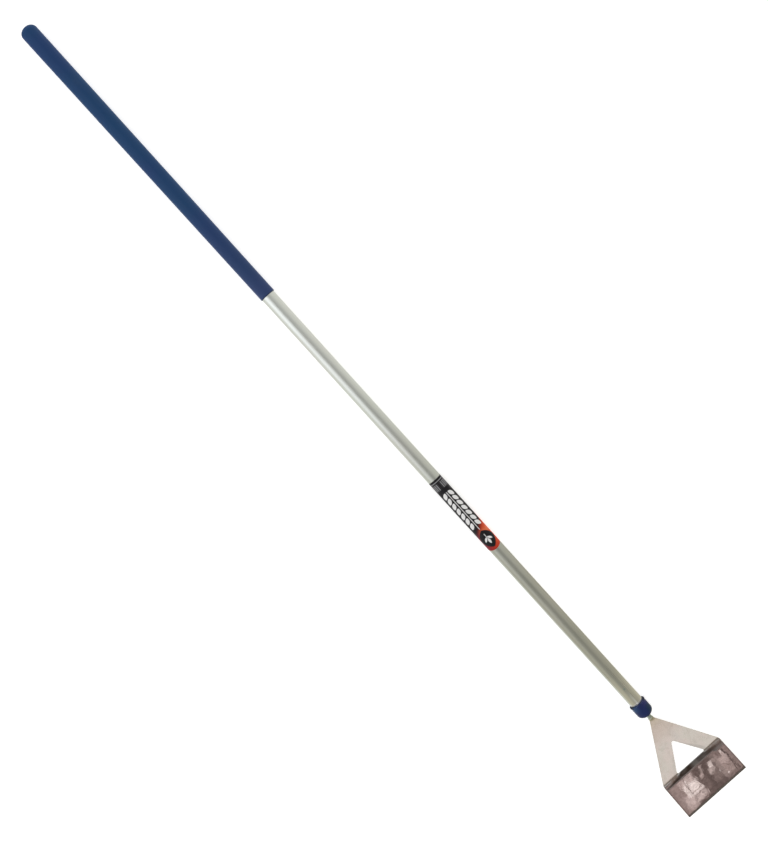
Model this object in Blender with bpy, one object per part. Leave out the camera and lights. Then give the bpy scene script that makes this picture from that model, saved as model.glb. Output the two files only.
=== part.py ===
"""A dutch hoe: a pressed steel head on a tang, held in a long tube with a plastic grip.

The hoe lies on the ground with its hollow side up: +X runs from the grip to the blade,
+Y is across the blade and +Z is up. The origin is under the middle of its box.
Run it with blender --background --python part.py, or from the Text Editor. Sizes are in metres.
"""

from math import asin, cos, pi, radians, sin, tan

import bmesh
import bpy
from mathutils import Matrix, Vector

# Handle
TUBE_DIAMETER = 0.025
TUBE_WALL = 0.0015
HANDLE_LENGTH = 1.558  # the grip's closed end to the tip of the frame
GRIP_LENGTH = 0.5814
GRIP_DOME = 0.011  # height of the closed end
GRIP_TOP_WALL = 0.0019
GRIP_LOW_WALL = 0.0010
GRIP_EDGE_ROUND = 0.0003
LABEL_FROM_GRIP = 0.4141  # bare tube between the grip and the label
LABEL_LENGTH = 0.1571
LABEL_SHEET = 0.0002
LABEL_SAG = 0.0057  # how far the rounded end draws back a quarter turn from its tip
LABEL_SEAM = 0.0012
END_PLUG_SPIGOT = 0.025

# Joint between handle and head
FERRULE_SLEEVE = 0.0195
FERRULE_WALL = 0.0020
FERRULE_NOSE = 0.0108
FERRULE_LIP = 0.0007
FERRULE_LIP_LENGTH = 0.0014
FERRULE_LIP_TAPER = 0.0042
NECK_LENGTH = 0.0078  # bare tang and weld between the ferrule and the frame
TANG_DIAMETER = 0.008
TANG_INSIDE = 0.062  # tang behind the end of the tube
TANG_LAP = 0.016  # tang under the frame
TANG_CHAMFER = 0.001
TANG_PLUG_BEHIND = 0.006  # plug behind the tang's inner end
TANG_PLUG_FLANGE = 0.003
TUBE_IN_FERRULE = 0.0152
PIN_DIAMETER = 0.0038
PIN_FROM_RIM = 0.0373
WELD_HEIGHT = 0.0010  # above the tang's surface
WELD_BEHIND = 0.0036
WELD_AHEAD = 0.0020

# Head
SHEET = 0.002
BLADE_WIDTH = 0.130
BLADE_DEPTH = 0.0644  # front edge to the fold line
BLADE_TILT = radians(35)  # above the shaft's line
FRAME_LENGTH = 0.1150  # tip to the fold line
FRAME_DIP = radians(7.5)  # below the shaft's line
FRAME_TIP_WIDTH = 0.008
BEND_RADIUS = 0.010  # on the hollow side
WINDOW_START = 0.0555  # from the frame's tip
WINDOW_LENGTH = 0.0582
WINDOW_WIDTH = 0.0649
WINDOW_TIP_ROUND = 0.0032
WINDOW_CORNER_ROUND = 0.0025
SHOULDER_ROUND = 0.004
BLADE_CORNER_ROUND = 0.0012
GROUND_WIDTH = 0.003  # of the sharpened front edge
GROUND_EDGE = 0.0004

# Fits and facets
GAP = 0.0003  # between pieces that touch
LABEL_GAP = 0.0002
SIDES = 48
PIN_SIDES = 24
ARC_STEPS = 8
BEND_STEPS = 8
CORNER_STEPS = 5
REACH = 0.02  # how far a cutter runs past what it cuts
MERGE = 1e-6  # points closer than this are one
SHARP_ANGLE = radians(32)  # edges that turn more stay sharp

# Worked out from the sizes above
TUBE_RADIUS = TUBE_DIAMETER / 2
TUBE_BORE = TUBE_RADIUS - TUBE_WALL
SOCKET = TUBE_RADIUS + GAP
GRIP_RADIUS = SOCKET + GRIP_TOP_WALL
FERRULE_RADIUS = SOCKET + FERRULE_WALL
TANG_RADIUS = TANG_DIAMETER / 2
TANG_HOLE = TANG_RADIUS + GAP
PIN_RADIUS = PIN_DIAMETER / 2

NOSE_X = HANDLE_LENGTH - NECK_LENGTH
SHOULDER_X = NOSE_X - FERRULE_NOSE
RIM_X = SHOULDER_X - FERRULE_SLEEVE
TUBE_START_X = GRIP_DOME + GAP
TUBE_END_X = RIM_X + TUBE_IN_FERRULE
TANG_START_X = TUBE_END_X - TANG_INSIDE
PIN_X = RIM_X - PIN_FROM_RIM
LABEL_X = GRIP_LENGTH + LABEL_FROM_GRIP

BEND_ANGLE = FRAME_DIP + BLADE_TILT
MIDDLE_RADIUS = BEND_RADIUS + SHEET / 2
TANGENT = MIDDLE_RADIUS * tan(BEND_ANGLE / 2)
BEND_START = FRAME_LENGTH - TANGENT  # along the flat sheet, from the frame's tip
BEND_END = BEND_START + MIDDLE_RADIUS * BEND_ANGLE
SHEET_END = BEND_END + BLADE_DEPTH - TANGENT
FOLD = (BEND_START + BEND_END) / 2

HEAD_DROP = BEND_START * sin(FRAME_DIP) - MIDDLE_RADIUS * cos(FRAME_DIP) + MIDDLE_RADIUS + SHEET / 2
AXIS_HEIGHT = max(HEAD_DROP, GRIP_RADIUS, FERRULE_RADIUS + FERRULE_LIP)
HEAD_REACH = FRAME_LENGTH * cos(FRAME_DIP) + BLADE_DEPTH * cos(BLADE_TILT) + SHEET / 2 * sin(BLADE_TILT)
TOTAL_LENGTH = HANDLE_LENGTH + HEAD_REACH


def clear_scene():
    for thing in list(bpy.data.objects):
        bpy.data.objects.remove(thing)


def material(name, colour, roughness, metallic):
    made = bpy.data.materials.new(name)
    made.use_nodes = True
    shader = made.node_tree.nodes["Principled BSDF"]
    shader.inputs["Base Color"].default_value = (*colour, 1)
    shader.inputs["Roughness"].default_value = roughness
    shader.inputs["Metallic"].default_value = metallic
    made.diffuse_color = (*colour, 1)
    return made


def finish(name, mesh_data, made_of, parent):
    """An object on the shaft's axis, with round surfaces smooth and edges sharp."""
    mesh = bpy.data.meshes.new(name)
    mesh_data.to_mesh(mesh)
    mesh_data.free()
    mesh.shade_smooth()
    mesh.set_sharp_from_angle(angle=SHARP_ANGLE)
    mesh.materials.append(made_of)
    piece = bpy.data.objects.new(name, mesh)
    piece.parent = parent
    bpy.context.collection.objects.link(piece)
    return piece


def arc(centre_x, centre_r, length_x, length_r, start, end, steps=ARC_STEPS):
    """Points (x, r) on an ellipse; angle 0 points along +X and a quarter turn points outwards."""
    turns = [start + (end - start) * step / steps for step in range(steps + 1)]
    return [(centre_x + length_x * cos(turn), centre_r + length_r * sin(turn)) for turn in turns]


def turned(profile, sides=SIDES):
    """The closed outline of points (x, r), turned round the X axis."""
    shape = bmesh.new()
    ring = [shape.verts.new((x, 0, max(r, 0))) for x, r in profile]
    closing = [] if profile[0][1] <= 0 and profile[-1][1] <= 0 else [(ring[-1], ring[0])]
    edges = [shape.edges.new(pair) for pair in list(zip(ring, ring[1:])) + closing]
    bmesh.ops.spin(
        shape, geom=ring + edges, cent=(0, 0, 0), axis=(1, 0, 0), angle=2 * pi, steps=sides, use_merge=True
    )
    bmesh.ops.remove_doubles(shape, verts=shape.verts, dist=MERGE)
    bmesh.ops.recalc_face_normals(shape, faces=shape.faces)
    return shape


def cutter(name, shape, parent):
    """A helper that only shapes its neighbours."""
    mesh = bpy.data.meshes.new(name)
    shape.to_mesh(mesh)
    shape.free()
    tool = bpy.data.objects.new(name, mesh)
    tool.parent = parent
    tool.hide_render = True
    tool.display_type = "WIRE"
    bpy.context.collection.objects.link(tool)
    return tool


def cut(piece, tool):
    difference = piece.modifiers.new(tool.name, "BOOLEAN")
    difference.operation = "DIFFERENCE"
    difference.solver = "EXACT"
    difference.object = tool


def upright_bar(x, radius, half_length):
    """A round bar along Z that crosses the shaft's axis at x."""
    shape = bmesh.new()
    bmesh.ops.create_cone(
        shape,
        cap_ends=True,
        segments=PIN_SIDES,
        radius1=radius,
        radius2=radius,
        depth=2 * half_length,
        matrix=Matrix.Translation((x, 0, 0)),
    )
    return shape


def slab(start, length, width, bottom, top):
    """A box over the frame's sheet: start is along the sheet, bottom and top are off its middle."""
    shape = bmesh.new()
    centre = Vector((start + length / 2, 0, (bottom + top) / 2))
    size = Matrix.Diagonal((length, width, top - bottom, 1))
    tilt = Matrix.Rotation(FRAME_DIP, 4, "Y")
    place = Matrix.Translation((HANDLE_LENGTH, 0, 0)) @ tilt @ Matrix.Translation(centre) @ size
    bmesh.ops.create_cube(shape, size=1, matrix=place)
    return shape


def shaft_tube(made_of, parent, pin_hole):
    outline = [
        (TUBE_START_X, TUBE_BORE),
        (TUBE_START_X, TUBE_RADIUS),
        (TUBE_END_X, TUBE_RADIUS),
        (TUBE_END_X, TUBE_BORE),
    ]
    tube = finish("shaft_tube", turned(outline), made_of, parent)
    cut(tube, pin_hole)


def end_plug(made_of, parent):
    """A domed head that backs the grip's end, on a spigot in the tube."""
    dome = GRIP_DOME - GRIP_TOP_WALL - GAP
    spigot = TUBE_BORE - GAP
    outline = arc(GRIP_DOME, 0, dome, TUBE_RADIUS, pi, pi / 2)
    outline += [(GRIP_DOME, spigot), (TUBE_START_X + END_PLUG_SPIGOT, spigot)]
    outline += [(TUBE_START_X + END_PLUG_SPIGOT, 0)]
    finish("end_plug", turned(outline), made_of, parent)


def grip(made_of, parent):
    """A moulded sleeve that thins towards its open end."""
    edge = GRIP_EDGE_ROUND
    low_radius = SOCKET + GRIP_LOW_WALL
    outline = arc(GRIP_DOME, 0, GRIP_DOME, GRIP_RADIUS, pi, pi / 2)
    outline += [(GRIP_LENGTH - edge, low_radius), (GRIP_LENGTH, low_radius - edge)]
    outline += [(GRIP_LENGTH, SOCKET)]
    outline += arc(GRIP_DOME, 0, GRIP_DOME - GRIP_TOP_WALL, SOCKET, pi / 2, pi)
    finish("grip", turned(outline), made_of, parent)


def label(made_of, parent):
    """A sheet wrapped round the tube, with its seam underneath and its lower end rounded."""
    inside = TUBE_RADIUS + LABEL_GAP
    seam_turn = LABEL_SEAM / 2 / inside
    shape = bmesh.new()
    rows = []
    for step in range(SIDES + 1):
        turn = -pi + seam_turn + (2 * pi - 2 * seam_turn) * step / SIDES
        tip = LABEL_X + LABEL_LENGTH - LABEL_SAG * (1 - cos(turn))
        corners = [(LABEL_X, inside), (tip, inside), (tip, inside + LABEL_SHEET), (LABEL_X, inside + LABEL_SHEET)]
        rows.append([shape.verts.new((x, r * sin(turn), r * cos(turn))) for x, r in corners])
    for row, after in zip(rows, rows[1:]):
        for corner in range(4):
            other = (corner + 1) % 4
            shape.faces.new((row[corner], row[other], after[other], after[corner]))
    shape.faces.new(rows[0])
    shape.faces.new(rows[-1])
    bmesh.ops.recalc_face_normals(shape, faces=shape.faces)
    finish("label", shape, made_of, parent)


def ferrule(made_of, parent):
    """An end cap over the tube, with a rounded nose that the tang leaves through."""
    lip = FERRULE_RADIUS + FERRULE_LIP
    hole_turn = asin(TANG_HOLE / FERRULE_RADIUS)
    inner_face = TUBE_END_X + GAP + TANG_PLUG_FLANGE + GAP
    lip_end = RIM_X + FERRULE_LIP_LENGTH
    outline = [(RIM_X, SOCKET), (RIM_X, lip), (lip_end, lip)]
    outline += arc(lip_end + FERRULE_LIP_TAPER, lip, FERRULE_LIP_TAPER, FERRULE_LIP, pi, 1.5 * pi)
    outline += arc(SHOULDER_X, 0, FERRULE_NOSE, FERRULE_RADIUS, pi / 2, hole_turn)
    outline += [(inner_face, TANG_HOLE), (inner_face, SOCKET)]
    finish("ferrule", turned(outline), made_of, parent)


def tang_plug(made_of, parent, pin_hole):
    """A plug in the tube's lower end, bored for the tang, with a flange against the tube's end."""
    back = TANG_START_X - TANG_PLUG_BEHIND
    body = TUBE_BORE - GAP
    flange = TUBE_END_X + GAP
    outline = [(back, 0), (back, body), (flange, body), (flange, TUBE_RADIUS)]
    outline += [(flange + TANG_PLUG_FLANGE, TUBE_RADIUS), (flange + TANG_PLUG_FLANGE, TANG_HOLE)]
    outline += [(TANG_START_X - GAP, TANG_HOLE), (TANG_START_X - GAP, 0)]
    plug = finish("tang_plug", turned(outline), made_of, parent)
    cut(plug, pin_hole)


def tang(made_of, parent, pin_hole, sheet_seat):
    """The rod from the plug to the head, cut on a slant where the frame lies on it."""
    end = HANDLE_LENGTH + TANG_LAP
    outline = [(TANG_START_X, 0), (TANG_START_X, TANG_RADIUS - TANG_CHAMFER)]
    outline += [(TANG_START_X + TANG_CHAMFER, TANG_RADIUS), (end, TANG_RADIUS), (end, 0)]
    rod = finish("tang", turned(outline, PIN_SIDES), made_of, parent)
    cut(rod, pin_hole)
    cut(rod, sheet_seat)


def cross_pin(made_of, parent):
    """A plain pin through tube, plug and tang, flush with the tube."""
    finish("cross_pin", upright_bar(PIN_X, PIN_RADIUS, TUBE_RADIUS), made_of, parent)


def weld_bead(made_of, parent, sheet_slot):
    """A raised ring of weld round the tang where the frame's tip meets it."""
    crest = TANG_RADIUS + WELD_HEIGHT
    crest_x = HANDLE_LENGTH + (WELD_AHEAD - WELD_BEHIND) / 2
    half = (WELD_AHEAD + WELD_BEHIND) / 2
    outline = arc(crest_x, TANG_HOLE, half, crest - TANG_HOLE, pi, 0)
    bead = finish("weld_bead", turned(outline), made_of, parent)
    cut(bead, sheet_slot)


def head_outline():
    """The flat sheet's outline, and the window's, as corners (along, across, rounding)."""
    half = BLADE_WIDTH / 2
    tip = FRAME_TIP_WIDTH / 2
    base = WINDOW_START + WINDOW_LENGTH
    outside = [
        (0, -tip, 0),
        (FOLD, -half, SHOULDER_ROUND),
        (SHEET_END, -half, BLADE_CORNER_ROUND),
        (SHEET_END, half, BLADE_CORNER_ROUND),
        (FOLD, half, SHOULDER_ROUND),
        (0, tip, 0),
    ]
    window = [
        (WINDOW_START, 0, WINDOW_TIP_ROUND),
        (base, WINDOW_WIDTH / 2, WINDOW_CORNER_ROUND),
        (base, -WINDOW_WIDTH / 2, WINDOW_CORNER_ROUND),
    ]
    return outside, window


def rounded(corners):
    """The outline's points, with an arc of its own radius at each corner."""
    points = []
    for index, (along, across, radius) in enumerate(corners):
        corner = Vector((along, across))
        if not radius:
            points.append(corner)
            continue
        before = (Vector(corners[index - 1][:2]) - corner).normalized()
        after = (Vector(corners[(index + 1) % len(corners)][:2]) - corner).normalized()
        half_angle = before.angle(after) / 2
        centre = corner + (before + after).normalized() * radius / sin(half_angle)
        start = corner + before * radius / tan(half_angle) - centre
        end = corner + after * radius / tan(half_angle) - centre
        sweep = start.angle_signed(end)
        for step in range(CORNER_STEPS + 1):
            points.append(centre + Matrix.Rotation(-sweep * step / CORNER_STEPS, 2) @ start)
    return points


def sharpened(along, height):
    """The height off the sheet's middle, lowered towards the ground front edge."""
    into = max(0, along - (SHEET_END - GROUND_WIDTH)) / GROUND_WIDTH
    return height - into * (SHEET - GROUND_EDGE) if height > 0 else height


def bent(along, across, height):
    """Where a point of the flat sheet lies once the frame dips and the blade is bent up."""
    frame_way = Vector((cos(FRAME_DIP), 0, -sin(FRAME_DIP)))
    frame_up = Vector((sin(FRAME_DIP), 0, cos(FRAME_DIP)))
    turn = min(max(along - BEND_START, 0) / MIDDLE_RADIUS, BEND_ANGLE)
    way = frame_way * cos(turn) + frame_up * sin(turn)
    up = frame_up * cos(turn) - frame_way * sin(turn)
    centre = frame_way * BEND_START + frame_up * MIDDLE_RADIUS
    straight = min(along, BEND_START) - BEND_START + max(along - BEND_END, 0)
    tip = Vector((HANDLE_LENGTH, across, 0))
    return tip + centre - up * (MIDDLE_RADIUS - height) + way * straight


def hoe_head(made_of, parent):
    """The frame and blade: an outline with a window, given its thickness and bent."""
    shape = bmesh.new()
    edges = []
    for corners in head_outline():
        loop = [shape.verts.new((*point, -SHEET / 2)) for point in rounded(corners)]
        edges += [shape.edges.new((loop[place - 1], loop[place])) for place in range(len(loop))]
    bmesh.ops.triangle_fill(shape, use_beauty=True, use_dissolve=True, edges=edges)
    thick = bmesh.ops.extrude_face_region(shape, geom=shape.faces[:])
    for vertex in [part for part in thick["geom"] if isinstance(part, bmesh.types.BMVert)]:
        vertex.co.z += SHEET
    stations = [BEND_START + (BEND_END - BEND_START) * step / BEND_STEPS for step in range(BEND_STEPS + 1)]
    for along in stations + [SHEET_END - GROUND_WIDTH]:
        everything = shape.verts[:] + shape.edges[:] + shape.faces[:]
        bmesh.ops.bisect_plane(shape, geom=everything, dist=MERGE, plane_co=(along, 0, 0), plane_no=(1, 0, 0))
    bmesh.ops.triangulate(shape, faces=[face for face in shape.faces if len(face.verts) > 4])
    for vertex in shape.verts:
        along, across, height = vertex.co
        vertex.co = bent(along, across, sharpened(along, height))
    bmesh.ops.recalc_face_normals(shape, faces=shape.faces)
    finish("hoe_head", shape, made_of, parent)


def build():
    clear_scene()
    steel = material("polished_stainless", (0.62, 0.60, 0.57), 0.10, 1.0)
    zinc = material("zinc_plated_steel", (0.58, 0.59, 0.53), 0.35, 1.0)
    weld = material("weld_metal", (0.45, 0.43, 0.38), 0.55, 1.0)
    aluminium = material("satin_aluminium", (0.55, 0.55, 0.50), 0.38, 1.0)
    blue = material("blue_plastic", (0.020, 0.045, 0.120), 0.42, 0.0)
    black = material("label_vinyl", (0.022, 0.020, 0.024), 0.45, 0.0)
    nylon = material("plug_nylon", (0.75, 0.74, 0.70), 0.60, 0.0)

    handle = bpy.data.objects.new("handle_axis", None)
    handle.location = (-TOTAL_LENGTH / 2, 0, AXIS_HEIGHT)
    bpy.context.collection.objects.link(handle)

    pin_hole = cutter("pin_hole", upright_bar(PIN_X, PIN_RADIUS + GAP, TUBE_RADIUS + REACH), handle)
    under_sheet = SHEET / 2 + GAP
    seat = slab(-GAP, TANG_LAP + REACH, REACH, -under_sheet, REACH)
    sheet_seat = cutter("sheet_seat", seat, handle)
    slot = slab(-GAP, REACH, REACH, -under_sheet, under_sheet)
    sheet_slot = cutter("sheet_slot", slot, handle)

    shaft_tube(aluminium, handle, pin_hole)
    grip(blue, handle)
    end_plug(nylon, handle)
    label(black, handle)
    ferrule(blue, handle)
    tang_plug(nylon, handle, pin_hole)
    tang(zinc, handle, pin_hole, sheet_seat)
    cross_pin(zinc, handle)
    weld_bead(weld, handle, sheet_slot)
    hoe_head(steel, handle)


build()
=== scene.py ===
from math import asin, atan, cos, pi, radians, sin, tan

import bmesh
import bpy
from mathutils import Matrix, Vector


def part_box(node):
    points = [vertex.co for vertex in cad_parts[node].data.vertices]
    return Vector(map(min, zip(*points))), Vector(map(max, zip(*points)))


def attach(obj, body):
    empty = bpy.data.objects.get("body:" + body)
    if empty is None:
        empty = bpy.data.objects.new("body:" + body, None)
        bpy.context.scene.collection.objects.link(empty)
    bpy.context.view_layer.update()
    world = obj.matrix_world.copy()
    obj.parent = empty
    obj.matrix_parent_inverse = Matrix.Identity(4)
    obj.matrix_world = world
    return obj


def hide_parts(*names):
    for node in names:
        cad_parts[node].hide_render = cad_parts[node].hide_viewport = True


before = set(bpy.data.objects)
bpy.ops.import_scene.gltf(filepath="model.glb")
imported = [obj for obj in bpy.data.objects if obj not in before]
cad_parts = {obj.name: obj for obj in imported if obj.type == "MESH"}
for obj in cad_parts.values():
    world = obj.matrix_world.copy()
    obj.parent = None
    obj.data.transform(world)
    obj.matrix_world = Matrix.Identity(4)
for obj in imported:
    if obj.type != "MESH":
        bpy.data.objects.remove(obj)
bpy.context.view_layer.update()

# Places that every piece shares, read from the frame. Metres, +X from grip to blade.
tubeLow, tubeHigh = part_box("shaft_tube")
gripLow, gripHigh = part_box("grip")
ferruleLow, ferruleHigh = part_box("ferrule")
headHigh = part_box("hoe_head")[1]
labelLow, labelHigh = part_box("label")
tangLow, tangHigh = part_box("tang")
pinLow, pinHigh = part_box("cross_pin")
axisHeight = (tubeLow.z + tubeHigh.z) / 2
tubeRadius = (tubeHigh.z - tubeLow.z) / 2
tangRadius = (tangHigh.z - tangLow.z) / 2
pinRadius = (pinHigh.x - pinLow.x) / 2
pinPlace = ((pinLow.x + pinHigh.x) / 2, 0, axisHeight)
alongShaft = (0, pi / 2, 0)  # turns a primitive's own axis onto the shaft's


# Small helpers

def deselectAll():
    if bpy.context.mode != "OBJECT":
        bpy.ops.object.mode_set(mode="OBJECT")
    bpy.ops.object.select_all(action="DESELECT")


def takeUp(piece):
    deselectAll()
    piece.select_set(True)
    bpy.context.view_layer.objects.active = piece


def placeIntoMesh(piece):
    takeUp(piece)
    bpy.ops.object.transform_apply(location=True, rotation=True, scale=True)


def named(name):
    # the primitive just added
    piece = bpy.context.active_object
    piece.name = name
    piece.data.name = name
    placeIntoMesh(piece)
    return piece


def modify(piece, kind, **settings):
    takeUp(piece)
    modifier = piece.modifiers.new(kind.lower(), kind)
    for key, value in settings.items():
        setattr(modifier, key, value)
    bpy.ops.object.modifier_apply(modifier=modifier.name)


def edit(piece):
    takeUp(piece)
    bpy.ops.object.mode_set(mode="EDIT")
    bpy.ops.mesh.select_all(action="DESELECT")


def pick(piece, what, test):
    # in edit mode, selects the edges or faces that pass the test
    bpy.ops.mesh.select_mode(type=what)
    bpy.ops.mesh.select_all(action="DESELECT")
    mesh = bmesh.from_edit_mesh(piece.data)
    for part in {"EDGE": mesh.edges, "FACE": mesh.faces}[what]:
        if test(part):
            part.select_set(True)
    mesh.select_flush_mode()
    bmesh.update_edit_mesh(piece.data)


def ringAt(x):
    # a test for the edges of the ring at x
    return lambda edge: all(abs(v.co.x - x) < 1e-5 for v in edge.verts)


def cutAcross(x, **settings):
    # in edit mode, a cut through the whole piece at x
    bpy.ops.mesh.select_all(action="SELECT")
    bpy.ops.mesh.bisect(plane_co=(x, 0, axisHeight), plane_no=(1, 0, 0), **settings)


def squeeze(share, x):
    # in edit mode, shortens the whole piece along X, towards x
    bpy.ops.mesh.select_all(action="SELECT")
    bpy.ops.transform.resize(value=(share, 1, 1), center_override=(x, 0, axisHeight))


def growRings(start, outline):
    # from the selected ring at start, new rings through the (x, radius) points
    ringX, ringR = start
    for x, r in outline:
        bpy.ops.mesh.extrude_edges_move(TRANSFORM_OT_translate={"value": (x - ringX, 0, 0)})
        bpy.ops.transform.resize(value=(1, r / ringR, r / ringR), center_override=(x, 0, axisHeight))
        ringX, ringR = x, r


def closeUp(piece, smoothAngle=32):
    # merges what meets, turns the faces outwards and shades round parts smooth
    takeUp(piece)
    bpy.ops.object.mode_set(mode="EDIT")
    bpy.ops.mesh.select_all(action="SELECT")
    bpy.ops.mesh.remove_doubles(threshold=1e-6)
    bpy.ops.mesh.normals_make_consistent(inside=False)
    bpy.ops.object.mode_set(mode="OBJECT")
    bpy.ops.object.shade_smooth_by_angle(angle=radians(smoothAngle))


def cutAway(piece, tool):
    modify(piece, "BOOLEAN", operation="DIFFERENCE", solver="EXACT", object=tool)
    bpy.data.objects.remove(tool)


def bend(piece, angle, hingeRows, **settings):
    # turns the piece about a hinge whose matrix is given by its rows
    hinge = bpy.data.objects.new("hinge", None)
    bpy.context.scene.collection.objects.link(hinge)
    hinge.matrix_world = Matrix(hingeRows)
    bpy.context.view_layer.update()
    modify(
        piece, "SIMPLE_DEFORM", deform_method="BEND", deform_axis="Z", angle=angle, origin=hinge, **settings
    )
    bpy.data.objects.remove(hinge)


def settle(piece, node, slot, *finishes):
    for finish in finishes:
        piece.data.materials.append(finish)
    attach(piece, "root")
    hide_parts(node)


# Helpers for the materials' nodes

class Nodes:
    # short ways to add nodes to a tree and to join them
    def __init__(self, tree):
        self.tree = tree

    def node(self, kind, **settings):
        made = self.tree.nodes.new("ShaderNode" + kind)
        for key, value in settings.items():
            setattr(made, key, value)
        return made

    def plug(self, value, socket):
        if isinstance(value, bpy.types.NodeSocket):
            self.tree.links.new(value, socket)
        elif socket.type == "RGBA":
            socket.default_value = (*value, 1)
        else:
            socket.default_value = value

    def math(self, operation, *values):
        made = self.node("Math", operation=operation)
        for value, socket in zip(values, made.inputs):
            self.plug(value, socket)
        return made.outputs[0]

    def chain(self, operation, found, *values):
        for value in values:
            found = self.math(operation, found, value)
        return found

    def plus(self, *values):
        return self.chain("ADD", *values)

    def minus(self, value, other):
        return self.math("SUBTRACT", value, other)

    def times(self, *values):
        return self.chain("MULTIPLY", *values)

    def over(self, value, other):
        return self.math("DIVIDE", value, other)

    def larger(self, *values):
        return self.chain("MAXIMUM", *values)

    def size(self, value):
        return self.math("ABSOLUTE", value)

    def span(self, value, low, high, toLow=0, toHigh=1):
        # eases from toLow to toHigh while the value goes from low to high
        made = self.node("MapRange", interpolation_type="SMOOTHSTEP")
        for one, socket in zip((value, low, high, toLow, toHigh), made.inputs):
            self.plug(one, socket)
        return made.outputs[0]

    def band(self, value, rise, fall):
        # 1 between the rise and the fall, and 0 outside them
        return self.times(self.span(value, *rise), self.span(value, *fall, 1, 0))

    def mix(self, share, first, second, blend="MIX"):
        made = self.node("Mix", data_type="RGBA", blend_type=blend)
        self.plug(share, made.inputs["Factor"])
        self.plug(first, made.inputs[6])
        self.plug(second, made.inputs[7])
        return made.outputs[2]

    def mixNumbers(self, share, first, second):
        made = self.node("Mix", data_type="FLOAT")
        self.plug(share, made.inputs["Factor"])
        self.plug(first, made.inputs[2])
        self.plug(second, made.inputs[3])
        return made.outputs[0]

    def axes(self, vector):
        split = self.node("SeparateXYZ")
        self.plug(vector, split.inputs[0])
        return split.outputs

    def flat(self, across, up):
        made = self.node("CombineXYZ")
        self.plug(across, made.inputs[0])
        self.plug(up, made.inputs[1])
        return made.outputs[0]

    def dot(self, vector, other):
        made = self.node("VectorMath", operation="DOT_PRODUCT")
        self.plug(vector, made.inputs[0])
        self.plug(other, made.inputs[1])
        return made.outputs["Value"]


class Paper(Nodes):
    # the node sheet of a material with a Principled shader
    def __init__(self, name, **values):
        self.material = bpy.data.materials.new(name)
        self.material.use_nodes = True
        super().__init__(self.material.node_tree)
        self.shader = self.tree.nodes["Principled BSDF"]
        for key, value in values.items():
            self.shader.inputs[key.replace("_", " ")].default_value = value

    def place(self, stretch=(1, 1, 1), shift=(0, 0, 0)):
        mapping = self.node("Mapping")
        self.plug(self.node("TexCoord").outputs["Object"], mapping.inputs["Vector"])
        self.plug(stretch, mapping.inputs["Scale"])
        self.plug(shift, mapping.inputs["Location"])
        return mapping.outputs[0]

    def noise(self, scale, detail=3, rough=0.5, stretch=(1, 1, 1), shift=(0, 0, 0), warp=0):
        made = self.node("TexNoise")
        self.plug(self.place(stretch, shift), made.inputs["Vector"])
        self.plug(scale, made.inputs["Scale"])
        self.plug(detail, made.inputs["Detail"])
        self.plug(rough, made.inputs["Roughness"])
        self.plug(warp, made.inputs["Distortion"])
        return made.outputs["Fac"]

    def along(self, axis):
        return self.axes(self.node("TexCoord").outputs["Object"])[axis]

    def stain(self, colour, value, layer, *masks):
        # lays the layer's colour on, as its share changes over its span of the value
        share = self.times(self.span(value, *layer["span"], *layer["share"]), *masks)
        return self.mix(share, colour, layer["colour"])

    def bump(self, height, depth, after=None):
        # depth is the height's full swing in metres
        made = self.node("Bump")
        made.inputs["Strength"].default_value = 1
        made.inputs["Distance"].default_value = depth
        self.plug(height, made.inputs["Height"])
        if after is not None:
            self.plug(after, made.inputs["Normal"])
        return made.outputs[0]

    def done(self, colour=None, roughness=None, normal=None):
        for name, value in (("Base Color", colour), ("Roughness", roughness), ("Normal", normal)):
            if value is not None:
                self.plug(value, self.shader.inputs[name])
        return self.material


print("frame loaded:", len(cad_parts), "nodes")


# Camera, first. It looks down on the hoe from above the tube, near the middle of its length.

shot = {
    "place": (0.71721, 0.03924, 1.91468),  # from the grip's closed end, on the shaft's axis
    "turn": (-4.017, -2.169, 47.94),  # degrees about X, Y and Z, from looking straight down
    "lens": 48.90,
    "sensor": 36.0,
    "clip": (0.01, 200),
}


def makeCamera():
    data = bpy.data.cameras.new("photoCamera")
    data.sensor_width = shot["sensor"]
    data.lens = shot["lens"]
    data.clip_start, data.clip_end = shot["clip"]
    camera = bpy.data.objects.new("photoCamera", data)
    bpy.context.scene.collection.objects.link(camera)
    camera.location = Vector((gripLow.x, 0, axisHeight)) + Vector(shot["place"])
    camera.rotation_euler = [radians(angle) for angle in shot["turn"]]
    bpy.context.scene.camera = camera


makeCamera()
print("camera placed")


# Grip: a navy sleeve with a domed end

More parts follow.
